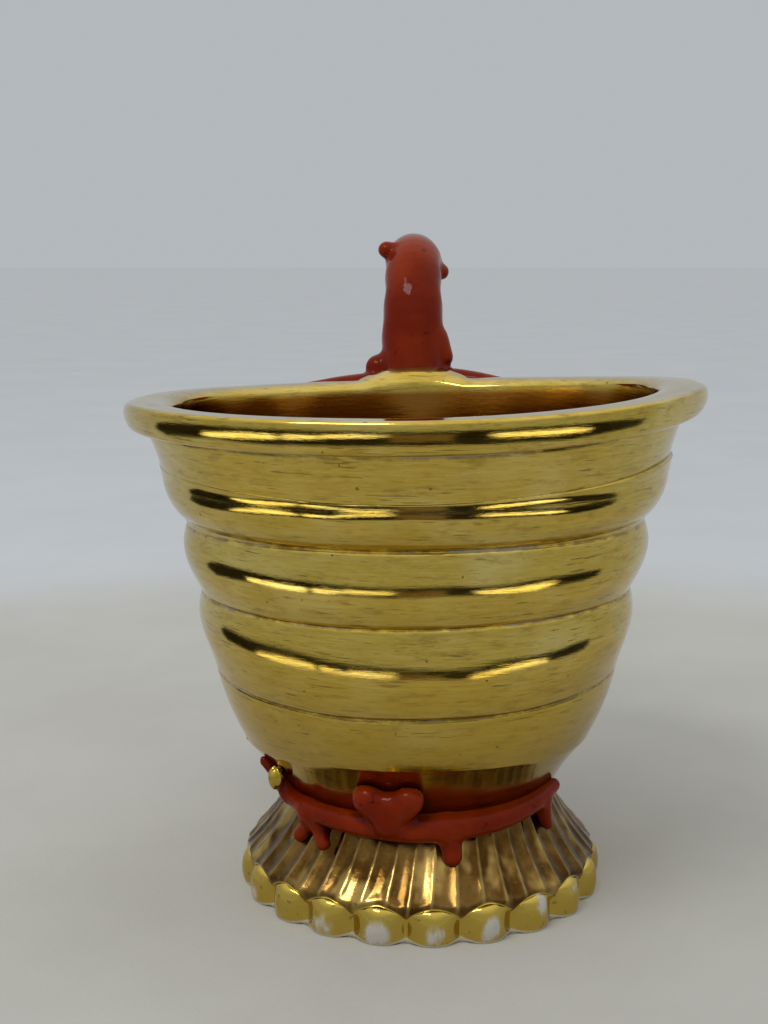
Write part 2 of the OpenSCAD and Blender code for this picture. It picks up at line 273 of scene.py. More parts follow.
def rim_shift(phi):
    """How the lip rises and falls round the mug, and its soft point at the back."""
    back = (1 - np.cos(np.radians(phi))) / 2
    side = np.abs(RIM_R * np.sin(np.radians(phi)) - CUSP_X)
    cusp = np.where(back > 0.5, CUSP_H * np.clip(1 - (side / CUSP_HALF) ** 1.6, 0, 1), 0)
    warp = sum(rise * lobe(phi, turn, width) for rise, turn, width in RIM_WARP)
    return warp - BACK_DROP * back ** 1.5 + 0.12 * waves(phi, 3), cusp


# How steeply the top band and the flare above it lean out at the front:
# height, and widening per millimetre of height
TOP_BAND = [(67.6, 1.5), (69, 0.9), (71, 0.46), (72.6, 0.28), (73.4, 0.12), (74.1, 0.05),
            (74.8, 0.12), (75.6, 0.3), (77, 0.36), (79.5, 0.36), (83, 0.42)]
# The rim's face at the front: length of each stretch, and which way it
# faces at its end, in degrees above level
RIM_FACE = [(0, -85), (1.7, -85), (1.5, -19), (3.9, 0), (1.2, 90), (2.0, 90)]


def integrate(knots, start, fall):
    """Running sum of a slope given at uneven places, from a start value."""
    at, slope = (np.array(column, float) for column in zip(*knots))
    fine = np.linspace(at[0], at[-1], 240)
    steps = np.interp(fine, at, slope)
    total = start + np.concatenate([[0], np.cumsum((steps[1:] + steps[:-1]) / 2
                                                   * (fine[1] - fine[0]))])
    return fine, total + fall * (fine - fine[0])


def top_band(z):
    """Outer radius of the top band and the flare over it, at the front."""
    fine, total = integrate(TOP_BAND, GROOVE_1[1], 0)
    fall = (CREASE[1] - total[-1]) / (fine[-1] - fine[0])
    return np.interp(z, *integrate(TOP_BAND, GROOVE_1[1], fall))


def rim_face(count):
    """Points of the rim's upright face, from the crease to the crest."""
    lengths, ways = (np.array(column, float) for column in zip(*RIM_FACE))
    at = np.cumsum(lengths)
    fine = np.linspace(0, at[-1], 400)
    way = np.radians(np.interp(fine, at, ways))
    step = fine[1]
    r = np.cumsum(-np.sin(way)) * step
    z = np.cumsum(np.cos(way)) * step
    t = fine / fine[-1]
    r += CREASE[1] + t * (ROLL[1] - CREASE[1] - r[-1])
    z += CREASE[0] + t * (RIM_Z - CREASE[0] - z[-1])
    pick = np.linspace(0, 1, count)
    return np.interp(pick, t, r), np.interp(pick, t, z)


def build_bowl():
    """The gilded bowl as one grid, from under its middle round to its floor."""
    rings = Rings(COLUMNS, ("crease", "inside"))
    add, phi = rings.add, rings.phi
    front = lobe(phi, 0, FRONT_HALF)
    shift, cusp = rim_shift(phi)
    creases = {
        SHOULDER: 0.3 * waves(phi, 11) + 2.0 * front,
        GROOVE_3: 0.6 - 1.7 * front + 0.15 * waves(phi, 12),
        GROOVE_2: -0.1 + 0.4 * front + 0.18 * waves(phi, 13),
        GROOVE_1: -0.2 + 1.3 * front + 0.15 * waves(phi, 14),
        NECK: -2.4 * front + shift * 0.5,
    }
    fore = 1 - smooth(np.abs((phi + 180) % 360 - 180), FORE_TO, FORE_END)

    # Underneath, from the middle out, then up the underside
    for r in np.linspace(0.02, 1, 6):
        add(FOOT_H, r * WAIST_R * 0.98)
    shoulder_z = SHOULDER[0] + creases[SHOULDER]
    for t in np.linspace(0, 1, 22)[:-1]:
        z = FOOT_H + (shoulder_z - FOOT_H) * t
        r = WAIST_R + (SHOULDER[1] - WAIST_R) * t ** UNDER_FLARE + 0.2 * waves(phi, 21) * t
        add(z, r)
    # The four bands
    for k, ((low, high, bulge, skew), (more, turn)) in enumerate(zip(BANDS, FRONT_BANDS)):
        z0, z1 = low[0] + creases[low], high[0] + creases[high]
        swell = bulge * (1 + 0.06 * waves(phi, 30 + k)) + more * front
        bend = skew + turn * front
        for t in even(34)[1:] if k else even(26):
            r = low[1] + (high[1] - low[1]) * t + swell * np.sin(math.pi * t ** bend)
            z = z0 + (z1 - z0) * t
            if k == 3:
                r = r + (top_band(z) - r) * fore
            # The shoulder below the first band and the neck above the last have no groove
            gaps = [gap for gap, grooved in ((z - z0, k > 0), (z1 - z, k < 3)) if grooved]
            nick = sum(NICK_DEPTH * np.exp(-(gap / NICK_H) ** 2) for gap in gaps)
            mark = sum(np.exp(-(gap / WORN_H) ** 2) for gap in gaps)
            ripple = 0.05 * waves(phi + 40 * t, 40 + k, (5, 9, 14))
            add(z, r - nick + ripple, np.clip(mark, 0, 1))
    # Flare up to the crease under the roll
    raised = 1.2 * (1 - lobe(phi, 0, 60))
    z0, z1 = NECK[0] + creases[NECK], CREASE[0] + shift + raised
    power = 2 - 0.75 * front
    for t in even(16)[1:]:
        z = z0 + (z1 - z0) * t
        r = NECK[1] + (CREASE[1] - NECK[1]) * t ** power
        r = r + (top_band(CREASE[0] + (z - z1)) - r) * fore
        add(z, r - 0.12 * math.exp(-((1 - t) / 0.08) ** 2),
            math.exp(-((1 - t) / 0.1) ** 2))
    # The rim: a round roll at the sides, with an upright face at the front,
    # then a nearly flat lip that turns down into the wall
    face_r, face_z = rim_face(RIM_ROWS)
    for i, turn in enumerate(np.linspace(CREASE_TURN - 360, 90, RIM_ROWS)[1:], 1):
        a = math.radians(turn)
        round_z, round_r = ROLL[0] + math.sin(a) * ROLL_R, ROLL[1] + math.cos(a) * ROLL_R
        z = round_z + (face_z[i] - round_z) * fore
        r = round_r + (face_r[i] - round_r) * fore
        lift = cusp * smooth(turn, -40, 70) + raised * (1 - i / (RIM_ROWS - 1)) ** 1.5
        add(z + lift + shift, r + 0.05 * waves(phi, 50, (6, 11, 17)))
    for t in np.linspace(0, 1, 22)[1:]:
        a = math.radians(90 * t)
        r = LIP_IN_R + (ROLL[1] - LIP_IN_R) * (1 - math.sin(a))
        z = RIM_Z - LIP_DROP * (1 - math.cos(a)) ** 1.3
        add(z + shift + cusp * (1 - t) ** 0.7, r, 0, 0.3 * t)
    # Inside: wall and rounded floor
    lip_z = RIM_Z - LIP_DROP
    hollow = 0.22 * waves(phi, 70, (7, 12, 19))
    for t in np.linspace(0, 1, 18)[1:]:
        z = lip_z + (NECK[0] - lip_z) * t
        r = LIP_IN_R + (NECK[1] - WALL - LIP_IN_R) * t + hollow * t
        add(z + shift * (1 - t), r, 0, min(1, 0.3 + 3 * t))
    for t in np.linspace(0, 1, 44)[1:]:
        z = NECK[0] + (BILGE_Z - NECK[0]) * t
        add(z, plain_radius(z, 0.5) - WALL + hollow, 0, 1)
    inner_r = plain_radius(BILGE_Z, 0.5) - WALL
    for t in np.linspace(0, 1, 16)[1:]:
        a = math.radians(89.6 * t)
        add(BILGE_Z - (BILGE_Z - FLOOR_Z) * math.sin(a), inner_r * math.cos(a), 0, 1)

    faces = capped_faces(len(rings.rows), COLUMNS)
    return make_object("bowl_gilt", leaned(rings.points()), faces, rings.attributes())


# ---------------------------------------------------------------- foot

def build_foot():
    """The hollow foot as one closed grid: ring, hem, flutes, and the inside."""
    columns = SCALLOPS * 24
    rings = Rings(columns, ("hem", "edge", "flute", "rub"))
    add, phi = rings.add, rings.phi
    place = (phi - SCALLOP_TURN) * SCALLOPS / 360
    bead = np.round(place).astype(int) % SCALLOPS
    across = 2 * (place - np.round(place))
    swell = np.clip(np.cos(math.pi * across / 2), 0, 1)
    draw = np.random.default_rng(8)
    each = draw.uniform(0.88, 1.1, SCALLOPS)[bead]
    hem_top = 4.4 + 1.8 * swell * each
    hem_low = 0.8 * (1 - swell) ** 1.5
    base = FOOT_R - HEM_OUT
    out = (HEM_OUT + 1.3) * swell * each ** 0.3 - 1.3
    # Where the gold is rubbed off the beads: low at the front, high to the right
    high = 0.3 + 0.5 * smooth((phi + 180) % 360 - 180, 15, 40)
    rub = (np.exp(-(across / 0.5) ** 2) * draw.uniform(0.55, 1.0, SCALLOPS)[bead]
           * (0.35 + 0.65 * lobe(phi, 12, 55)))

    def crest(z):
        """Height of the flutes: sharp crests with wide hollows between them."""
        swirl = FLUTE_SWIRL * (1 - z / FOOT_H)
        u = (phi + swirl + 1.1 * waves(phi, 60, (5, 9, 13))) * FLUTES / 360
        return np.abs(2 * (u - np.floor(u)) - 1) ** FLUTE_SHARP

    # Standing ring, then the hem with its scallops
    inner = foot_radius(0.0) - FOOT_WALL
    for r in np.linspace(inner, base - 0.9, 5):
        add(0.0, r, 1, 1, 0)
    for s in even(26):
        z = hem_low + (hem_top - hem_low) * s
        round_s = math.sqrt(max(0.0, 1 - (2 * (0.14 + 0.86 * s) - 1) ** 2))
        r = base - 0.45 + (out + 0.45) * round_s
        add(z, r, 1, math.exp(-(s / 0.1) ** 2), 0, rub * np.exp(-((s - high) / 0.42) ** 2))
    # The flare with its flutes
    for t in np.linspace(0, 1, 40)[1:]:
        z = hem_top + (FOOT_H + 0.5 - hem_top) * t
        height = FLUTE_H * smooth(t, 0.0, 0.18) * (1 - 0.55 * t)
        ridge = crest(z)
        step = 0.45 * (1 - smooth(t, 0, 0.08))
        r = foot_radius(np.minimum(z, FOOT_H)) - step + height * (ridge - 0.45)
        add(z, r, 0, 0, ridge * (1 - 0.3 * t))
    # Inside the hollow foot
    top_in = foot_radius(FOOT_H) - FOOT_WALL
    for t in np.linspace(0, 1, 14)[:-1]:
        z = FOOT_H + 0.5 - (FOOT_H + 0.5) * t
        r = min(foot_radius(max(HEM_H, min(z, FOOT_H))) - FOOT_WALL, inner)
        add(z, max(r, top_in), 0, 0.4, 0)

    faces = ring_faces(len(rings.rows), columns, True)
    return make_object("foot_gilt", rings.points(), faces, rings.attributes())


# ---------------------------------------------------------------- coral

def around(phi, r, z):
    """A point at a turn, radius and height, in millimetres."""
    a = math.radians(phi)
    return np.array([r * math.sin(a), -r * math.cos(a), z])


def on_bowl(phi, z, out):
    """A point on the bowl's wall, some way out of it."""
    return leaned(around(phi, float(plain_radius(z)) + out, z))


def on_foot(phi, z, out):
    """A point on the foot's flare, some way out of it."""
    return around(phi, float(foot_radius(z)) + out, z)


def on_rim(phi, out, fall):
    """A point along the outside of the rim's roll, near the back."""
    return leaned(around(phi, RIM_R + out, RIM_Z - ROLL_R - BACK_DROP - fall + 1.6))


def strand(place, *steps):
    """A route along a surface. Each step is what place takes, then a radius."""
    return [[*place(*where), radius] for *where, radius in steps]


def smoothed(route, steps=5):
    """A Catmull-Rom curve through [x, y, z, radius] points."""
    route = np.array(route, float)
    last = len(route) - 1
    out = []
    for i in range(last):
        p, q = route[max(0, i - 1)], route[i]
        r, s = route[i + 1], route[min(last, i + 2)]
        for k in range(steps):
            t = k / steps
            out.append(0.5 * (2 * q + (r - p) * t + (2 * p - 5 * q + 4 * r - s) * t * t
                              + (3 * q - p - 3 * r + s) * t ** 3))
    out.append(route[last])
    return np.array(out)


def cubic(p, t):
    """A Bezier curve through four values."""
    return (p[0] * (1 - t) ** 3 + 3 * p[1] * t * (1 - t) ** 2
            + 3 * p[2] * t * t * (1 - t) + p[3] * t ** 3)


def handle_route():
    """From inside the neck up and over the loop, then down to the heel."""
    x, r = HANDLE_X, HANDLE_R
    shank_y = HANDLE_SHANK_Y
    loop_y = (shank_y + HANDLE_OUT) / 2
    loop_z = RIM_Z + 4
    heel_y, heel_z = WAIST_R + 5.5, FOOT_H + 4
    sweep_y = [HANDLE_OUT, HANDLE_OUT, (HANDLE_OUT + heel_y) / 2 - 3, heel_y]
    sweep_z = [loop_z, loop_z - (loop_z - heel_z) / 2, heel_z + 14, heel_z]
    route = [[x, NECK[1] + 1, NECK[0] - 2.5, r - 1.5],
             [x, shank_y - 3.5, RIM_Z - 6, r],
             [x, shank_y - 0.4, RIM_Z + 2, r + 0.4]]
    for a in range(150, -1, -30):
        c, s = math.cos(math.radians(a)), math.sin(math.radians(a))
        route.append([x, loop_y + (loop_y - shank_y) * c, loop_z + (HANDLE_TOP - loop_z) * s, r])
    for i in range(1, 6):
        t = i / 5
        route.append([x * (1 - t), cubic(sweep_y, t), cubic(sweep_z, t), r - 1.6 * t])
    return route


def collar_route():
    """Round the front of the waist, thinner and higher towards both ends."""
    route = []
    for i in range(9):
        phi = COLLAR_HALF * (i / 4 - 1)
        u = abs(phi) / COLLAR_HALF
        thick = COLLAR_R * (1 - 0.5 * u * u) * (0.9 if phi < BUD_TURN else 1)
        route.append([*on_bowl(phi, WAIST_Z + 2 * u ** 3, 1.7 - 0.8 * u), thick])
    return route


def bud_routes():
    """Two lobes and the middle between them, all from one stem."""
    stem_z = WAIST_Z + 3
    lobe_z = stem_z + 7.4 - 2 * BUD_R
    half = math.degrees(math.asin((6 - BUD_R) / float(plain_radius(lobe_z))))
    stem = (BUD_TURN, stem_z - 1.6, 2.1, BUD_R * 0.95)
    ends = [(BUD_TURN + side * half, lobe_z - 0.2, 0.6, BUD_R + 0.3) for side in (-0.9, 0.9)]
    ends.append((BUD_TURN, lobe_z - 1.2, 1.0, BUD_R))
    return [strand(on_bowl, stem, end) for end in ends]


def spur(phi_0, phi_1, z_1, radius):
    """A twig from the waist down over the top of the foot."""
    middle = ((phi_0 + phi_1) / 2, (WAIST_Z + z_1) / 2 - 0.6, 1, radius)
    return (strand(on_bowl, (phi_0, WAIST_Z, 1.4, radius * 1.2))
            + strand(on_foot, middle, (phi_1, z_1, 0.3, radius * 0.9)))


def coral_routes():
    """Every branch as routes of [x, y, z, radius]."""
    x, r, t = HANDLE_X, HANDLE_R, TWIG_R
    shank_y, waist_z, spur_z = HANDLE_SHANK_Y, WAIST_Z, FOOT_H - 4.4
    knuckle_z = RIM_Z + 2 - BACK_DROP * 0.5
    return {
        "handle": [handle_route()],
        "handle_heel": [strand(on_bowl, *[(turn, waist_z + 0.8, 1.6, r * 0.5 - abs(turn - 180) / 30)
                                          for turn in range(150, 211, 15)])],
        "handle_knuckle_left": [[[x - r + 2, shank_y, knuckle_z + 0.5, t * 1.2],
                                 [x - r - 1.2, shank_y - 1, knuckle_z - 1.0, t * 1.5]]],
        "handle_knuckle_right": [[[x + r - 1.5, shank_y, knuckle_z + 4.5, t * 1.5],
                                  [x + r + 0.2, shank_y - 0.5, knuckle_z + 1, t * 1.3]]],
        "handle_stub_left": [[[x - 1, shank_y + 9, HANDLE_TOP + 1.5, t],
                              [x - r + 0.4, shank_y + 8, HANDLE_TOP + 2.6, t * 0.95]]],
        "handle_stub_right": [[[x + 3.5, shank_y + 10, HANDLE_TOP - 1.5, t * 1.1],
                               [x + r, shank_y + 11, HANDLE_TOP - 2, t]]],
        "rim_root_left": [strand(on_rim, (-174, 1.6, -0.4, t * 1.2), (-168, 0.8, 0, t * 1.2),
                                 (-160, 0.4, 0.2, t), (-151, 0, 0.6, t * 0.6))],
        "rim_root_right": [strand(on_rim, (178, 1.8, -0.9, t * 1.25), (172, 1.2, -0.7, t * 1.25),
                                  (167, 0.8, -0.4, t * 1.15), (162, 0.4, 0, t),
                                  (154, 0, 0.4, t * 0.6))],
        "lower_root_left": [strand(on_bowl, (-150, waist_z + 0.9, 1, t * 1.2),
                                   (-132, waist_z + 0.6, 0.9, t * 1.1),
                                   (-114, waist_z + 1.4, 0.8, t),
                                   (-98, waist_z + 4, 0.8, t * 0.85),
                                   (-91, waist_z + 7.6, 0.5, t * 0.75))],
        "lower_root_right": [strand(on_bowl, (150, waist_z + 0.9, 1, t * 1.2),
                                    (132, waist_z + 0.5, 0.9, t * 1.1),
                                    (116, waist_z + 0.2, 0.8, t * 0.9),
                                    (104, waist_z - 0.2, 0.6, t * 0.65))],
        "collar_branch": [collar_route(), strand(on_bowl, (-58, waist_z + 1.6, 1.0, t * 0.8),
                                                 (-61, waist_z + 4.6, 0.6, t * 0.65),
                                                 (-63, waist_z + 7.4, 0.4, t * 0.5))],
        "front_bud": bud_routes(),
        "spur_left": [spur(-46, -52, spur_z, t * 0.85), spur(-44, -39, spur_z, t * 0.8)],
        "spur_middle": [spur(11, 12, spur_z, t * 1.05)],
        "spur_right": [spur(57, 60, spur_z + 1, t * 0.7)],
    }


# The branches are blended on a grid of cells, over a distance where they melt
# together. They are then sunk into the wall behind them.
CELL = 0.5
MELT = 1.2
SUNK = 0.9
BOWL_SLOPE, FOOT_SLOPE = 0.93, 0.85
SLAB = 24
# How far out along each normal other surfaces are looked for: glaze pooling and painted shade
POOL_AND_SHADE_DEPTH = 2.2
FAR_OFF = 9.0
CORNERS = [(i, j, k) for i in (0, 1) for j in (0, 1) for k in (0, 1)]


def grid_points(low, first, end):
    """Places of the grid's corners from one index to another, in millimetres."""
    axes = [low[n] + CELL * np.arange(first[n], end[n]) for n in range(3)]
    return np.stack(np.meshgrid(*axes, indexing="ij"), -1)


def blend_min(a, b, k):
    """The smaller of two distances, rounded where they are within k."""
    h = np.maximum(k - np.abs(a - b), 0) / k
    return np.minimum(a, b) - h * h * k / 4


def capsule(points, a, b):
    """Distance to a round bar whose radius runs from a[3] to b[3]."""
    ab = b[:3] - a[:3]
    length = max(float(ab @ ab), 1e-9)
    rel = points - a[:3].astype(points.dtype)
    t = np.clip(rel @ ab.astype(points.dtype) / length, 0, 1)
    gap = rel - t[..., None] * ab.astype(points.dtype)
    return np.sqrt((gap * gap).sum(-1)) - (a[3] + t * (b[3] - a[3]))


def inside_depth(points):
    """Distance outside the plain bowl and foot, negative within them.

    A gap measured level is more than the shortest way to a sloping wall, so
    it is scaled down by the wall's mean slope.
    """
    own = unleaned(points)
    rho = np.hypot(own[..., 0], own[..., 1])
    bowl = (rho - plain_radius(np.clip(own[..., 2], FOOT_H, CREASE[0]))) * BOWL_SLOPE
    bowl = np.maximum(bowl, FOOT_H - own[..., 2])
    roll = np.hypot(rho - ROLL[1], own[..., 2] - (ROLL[0] - BACK_DROP)) - ROLL_R
    bowl = np.minimum(np.maximum(bowl, own[..., 2] - RIM_Z), roll)
    foot = (np.hypot(points[..., 0], points[..., 1])
            - foot_radius(np.clip(points[..., 2], 0, FOOT_H))) * FOOT_SLOPE
    foot = np.maximum(foot, points[..., 2] - FOOT_H - 0.5)
    return np.minimum(bowl, foot)


def coral_field(low, shape, routes):
    """The blended distance field of all the branches on a grid."""
    field = np.full(shape, FAR_OFF, np.float32)
    for strands in routes.values():
        for route in strands:
            path = smoothed(route)
            top = float(path[:, 3].max()) + MELT + 2
            first = np.maximum(((path[:, :3].min(0) - top - low) / CELL).astype(int), 0)
            end = np.minimum(((path[:, :3].max(0) + top - low) / CELL).astype(int) + 2, shape)
            own = np.full(tuple(end - first), FAR_OFF, np.float32)
            for a, b in zip(path[:-1], path[1:]):
                reach = max(a[3], b[3]) + MELT + 1.5
                lo = np.minimum(a, b)[:3] - reach
                hi = np.maximum(a, b)[:3] + reach
                i0 = np.maximum(((lo - low) / CELL).astype(int), first)
                i1 = np.minimum(((hi - low) / CELL).astype(int) + 2, end)
                if (i1 <= i0).any():
                    continue
                points = grid_points(low, i0, i1).astype(np.float32)
                part = tuple(slice(i0[n] - first[n], i1[n] - first[n]) for n in range(3))
                own[part] = np.minimum(own[part], capsule(points, a, b))
            whole = tuple(slice(first[n], end[n]) for n in range(3))
            field[whole] = blend_min(field[whole], own, MELT)
    return field


def surface_net(field):
    """Points (in cells) and quads of the surface where the field is zero."""
    inside = field < 0
    count = np.zeros(tuple(n - 1 for n in field.shape), np.int8)

    def corner(array, o):
        return array[tuple(slice(o[n], array.shape[n] - 1 + o[n]) for n in range(3))]

    for o in CORNERS:
        count += corner(inside, o)
    cells = np.argwhere((count > 0) & (count < 8))
    number = np.full(count.shape, -1, np.int32)
    number[tuple(cells.T)] = np.arange(len(cells))
    values = {o: field[tuple((cells + o).T)] for o in CORNERS}
    total = np.zeros((len(cells), 3))
    hits = np.zeros(len(cells))
    for a in CORNERS:
        for n in range(3):
            if a[n]:
                continue
            b = tuple(a[m] + (m == n) for m in range(3))
            fa, fb = values[a], values[b]
            cross = (fa < 0) != (fb < 0)
            t = np.where(cross, fa / np.where(cross, fa - fb, 1), 0)
            spot = np.array(a, float) + t[:, None] * np.eye(3)[n]
            total += np.where(cross[:, None], spot, 0)
            hits += cross
    points = cells + total / hits[:, None]
    quads = []
    for n in range(3):
        u, v = (n + 1) % 3, (n + 2) % 3
        edge = tuple(slice(0, -1) if m == n else slice(1, -1) for m in range(3))
        step = tuple(slice(1, None) if m == n else slice(1, -1) for m in range(3))
        change = inside[edge] != inside[step]
        spots = np.argwhere(change) + np.array([0 if m == n else 1 for m in range(3)])
        way = inside[tuple(spots.T)]
        around_edge = []
        for du, dv in ((-1, -1), (0, -1), (0, 0), (-1, 0)):
            c = spots.copy()
            c[:, u] += du
            c[:, v] += dv
            around_edge.append(number[tuple(c.T)])
        quad = np.stack(around_edge, -1)
        quads.append(np.where(way[:, None], quad, quad[:, ::-1]))
    return points, np.concatenate(quads)


def sample(field, where):
    """Trilinear value of the field at points given in cells."""
    where = np.clip(where, 0, np.array(field.shape) - 1.001)
    base = where.astype(int)
    frac = where - base
    out = np.zeros(len(where))
    for o in CORNERS:
        weight = np.ones(len(where))
        for n in range(3):
            weight = weight * (frac[:, n] if o[n] else 1 - frac[:, n])
        out += weight * field[tuple((base + o).T)]
    return out


def gradient(field, where, step=0.7):
    """Unit direction in which the field grows, at points given in cells."""
    axes = np.eye(3) * step
    g = np.stack([sample(field, where + a) - sample(field, where - a) for a in axes], -1)
    return g / np.maximum(np.linalg.norm(g, axis=1, keepdims=True), 1e-9)


def open_loops(faces):
    """Loops of the open edges of a patch of faces."""
    edges = {}
    for f in faces:
        for a, b in zip(f, (*f[1:], f[0])):
            if (b, a) in edges:
                del edges[(b, a)]
            else:
                edges[(a, b)] = True
    follow = {}
    for a, b in edges:
        follow.setdefault(a, []).append(b)
    loops = []
    while follow:
        start = next(iter(follow))
        loop, at = [start], start
        while True:
            nxt = follow[at].pop()
            if not follow[at]:
                del follow[at]
            if nxt == start or nxt not in follow:
                break
            loop.append(nxt)
            at = nxt
        if len(loop) > 2:
            loops.append(loop)
    return loops


def build_coral():
    """One blended glaze surface, cut where one CAD piece meets the next."""
    routes = coral_routes()
    low = np.array([-36.0, -36.0, 9.0])
    high = np.array([36.0, HANDLE_OUT + HANDLE_R + 3, HANDLE_TOP + HANDLE_R + 5])
    shape = tuple(((high - low) / CELL).astype(int) + 1)
    field = coral_field(low, shape, routes)
    for i in range(0, shape[0], SLAB):
        part = field[i:i + SLAB]
        points = grid_points(low, (i, 0, 0), (i + len(part), *shape[1:]))
        near = part < 3
        sunk = np.full(part.shape, -FAR_OFF, np.float32)
        sunk[near] = -(inside_depth(points[near]) + SUNK)
        field[i:i + SLAB] = np.maximum(part, sunk)
    cells, quads = surface_net(field)
    normals = gradient(field, cells)
    # How closed in each point is, from the field a little way out along its normal: the glaze pools
    # there, and it also serves as painted shade
    deep = sample(field, cells + normals * POOL_AND_SHADE_DEPTH / CELL)
    pool_and_shade = np.clip(1 - deep / POOL_AND_SHADE_DEPTH, 0, 1)
    points = low + cells * CELL
    # Uneven by hand, more so on the handle than on the twigs at the waist
    y, z = points[:, 1], points[:, 2]
    hand = 0.16 * np.sin(z * 0.33 + 1) + 0.1 * np.sin(z * 0.8 + y * 0.5)
    points = points + normals * np.where(y > 40, hand, 0.3 * hand)[:, None]

    centres = points[quads].mean(1)
    names = list(routes)
    gaps = []
    for name in names:
        best = np.full(len(centres), 99.0)
        for route in routes[name]:
            path = smoothed(route)
            for a, b in zip(path[:-1], path[1:]):
                best = np.minimum(best, capsule(centres, a, b))
        gaps.append(best)
    owner = np.argmin(gaps, 0)
    pieces = {}
    for n, name in enumerate(names):
        faces = quads[owner == n]
        used, packed = np.unique(faces, return_inverse=True)
        face_list = packed.reshape(-1, 4).tolist()
        own_points, own_normals, own_pool_and_shade = (v[used].tolist() for v in (points, normals, pool_and_shade))
        # Where the surface was cut, a fan closes the hole
        for loop in open_loops(face_list):
            centre = len(own_points)
            for values in (own_points, own_normals):
                values.append(np.array([values[i] for i in loop]).mean(0).tolist())
            own_pool_and_shade.append(0.5)
            for a, b in zip(loop, (*loop[1:], loop[0])):
                face_list.append([b, a, centre])
        pieces[name] = make_object(name + "_coral", own_points, face_list,
                                   {"pool_and_shade": own_pool_and_shade}, own_normals)
    return pieces


def build_knot():
    """The small lump of gilding at the left end of the collar."""
    rows, columns = 24, 36
    centre = on_bowl(-57, FOOT_H + 5.8, 1.5)
    squash = np.array([0.85, 0.85, 1.15])
    points = []
    for i in range(rows + 1):
        for j in range(columns):
            a, b = math.pi * (0.02 + 0.96 * i / rows), 2 * math.pi * j / columns
            way = np.array([math.sin(a) * math.cos(b), math.sin(a) * math.sin(b), -math.cos(a)])
            bump = 1.65 + 0.14 * math.sin(3 * b + 2 * a) + 0.08 * math.sin(5 * b)
            points.append(centre + way * bump * squash)
    return make_object("gilt_knot_gilt", points, capped_faces(rows + 1, columns),
                       {k: np.zeros(len(points)) for k in ("crease", "inside")})


# ---------------------------------------------------------------- materials

# Sockets of a Mix node that mixes colours
MIX_FACTOR, MIX_A, MIX_B, MIX_OUT = 0, 6, 7, 2


class Nodes:
    """Short calls for building one material's node tree."""

    def __init__(self, name):
        self.material = bpy.data.materials.new(name)
        self.material.use_nodes = True
        self.tree = self.material.node_tree
        self.shader = self.tree.nodes["Principled BSDF"]
        self.coords = self.tree.nodes.new("ShaderNodeTexCoord").outputs["Object"]

    def link(self, value, socket):
        """Feed a socket from another socket, or set it to a constant."""
        if isinstance(value, bpy.types.NodeSocket):
            self.tree.links.new(value, socket)
        else:
            socket.default_value = value

    def attribute(self, name):
        node = self.tree.nodes.new("ShaderNodeAttribute")
        node.attribute_name = name
        return node.outputs["Fac"]

    def noise(self, scale, detail=3.0, rough=0.5, offset=0.0):
        """Noise with its own number of features per metre along each axis."""
        mapping = self.tree.nodes.new("ShaderNodeMapping")
        mapping.inputs["Scale"].default_value = scale
        mapping.inputs["Location"].default_value = (offset, offset, offset)
        self.tree.links.new(self.coords, mapping.inputs["Vector"])
        node = self.tree.nodes.new("ShaderNodeTexNoise")
        node.inputs["Scale"].default_value = 1.0
        node.inputs["Detail"].default_value = detail
        node.inputs["Roughness"].default_value = rough
        self.tree.links.new(mapping.outputs["Vector"], node.inputs["Vector"])
        return node.outputs["Fac"]

    def math(self, operation, a, b=0.0):
        node = self.tree.nodes.new("ShaderNodeMath")
        node.operation = operation
        self.link(a, node.inputs[0])
        self.link(b, node.inputs[1])
        return node.outputs[0]

    def times(self, a, b):
        return self.math("MULTIPLY", a, b)

    def ramp(self, value, low, high, out_low=0.0, out_high=1.0):
        """A smooth step of a value between two levels."""
        node = self.tree.nodes.new("ShaderNodeMapRange")
        node.interpolation_type = "SMOOTHSTEP"
        for key, number in (("From Min", low), ("From Max", high),
                            ("To Min", out_low), ("To Max", out_high)):
            node.inputs[key].default_value = number
        self.link(value, node.inputs["Value"])
        return node.outputs["Result"]

    def mix(self, factor, a, b):
        node = self.tree.nodes.new("ShaderNodeMix")
        node.data_type = "RGBA"
        self.link(factor, node.inputs[MIX_FACTOR])
        for value, socket in ((a, node.inputs[MIX_A]), (b, node.inputs[MIX_B])):
            self.link((*value, 1.0) if isinstance(value, tuple) else value, socket)
        return node.outputs[MIX_OUT]

    def bump(self, height, distance, strength=1.0):
        node = self.tree.nodes.new("ShaderNodeBump")
        node.inputs["Distance"].default_value = distance
        node.inputs["Strength"].default_value = strength
        self.link(height, node.inputs["Height"])
        self.tree.links.new(node.outputs["Normal"], self.shader.inputs["Normal"])

    def surface(self, tone, rough, metallic=0.0):
        """The shader's own colour, roughness and metallic."""
        for value, key in ((tone, "Base Color"), (rough, "Roughness"), (metallic, "Metallic")):
            self.link((*value, 1.0) if isinstance(value, tuple) else value, self.shader.inputs[key])


GOLD = (0.66, 0.49, 0.11)
GOLD_DEEP = (0.55, 0.38, 0.06)
GOLD_PALE = (0.74, 0.60, 0.22)
# Painted shade: the lower wall darker and browner
GOLD_LOW_SHADE = (0.46, 0.30, 0.04)
GOLD_SMEARED = (0.36, 0.23, 0.045)
GOLD_HEM = (0.56, 0.40, 0.075)
# Copper inside the bowl, darkened further as painted shade
COPPER_AND_SHADE = (0.28, 0.125, 0.02)
# Painted shade beside the creases
CREASE_SHADE = (0.16, 0.10, 0.025)
SCRATCH = (0.13, 0.08, 0.02)
BISQUE = (0.34, 0.32, 0.27)
BRONZE_DARK = (0.07, 0.032, 0.006)
BRONZE = (0.20, 0.115, 0.03)
BRONZE_WARM = (0.40, 0.26, 0.075)
